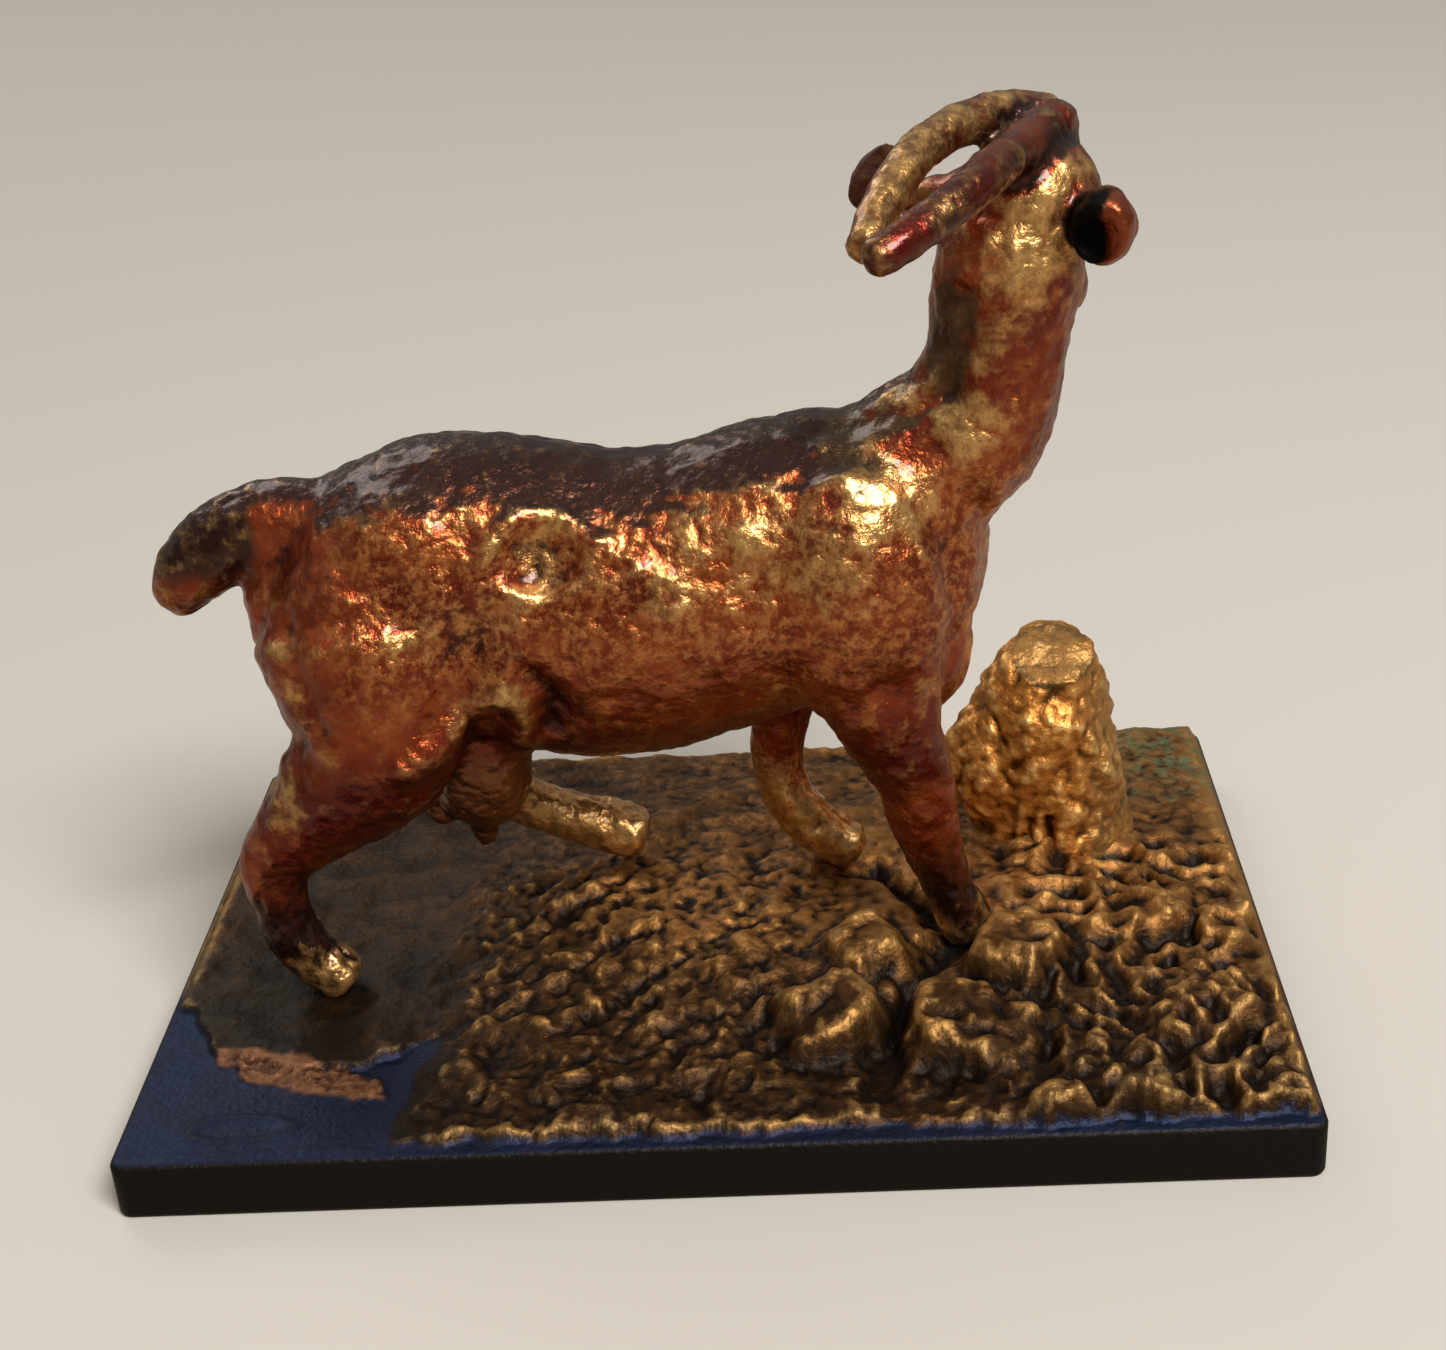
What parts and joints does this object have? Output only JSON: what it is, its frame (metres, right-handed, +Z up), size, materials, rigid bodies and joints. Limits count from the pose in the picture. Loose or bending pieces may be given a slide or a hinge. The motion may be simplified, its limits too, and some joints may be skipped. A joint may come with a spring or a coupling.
{
  "type": "goat figurine",
  "caption": "Solid bronze casting of a standing horned nanny goat looking back over its shoulder, on a flat rectangular slab with rocky ground and a rock stump.",
  "frame": {"origin": "middle of the slab's flat underside", "axes": "+X along the slab's length, the way the goat stands; +Y across the slab, away from the side that the goat shows in the picture; +Z up"},
  "size_m": [0.12, 0.08, 0.0975],
  "materials": {
    "patinated_bronze": "satin"
  },
  "bodies": {
    "root": {"goat_figurine": "patinated_bronze"}
  },
  "joints": []
}
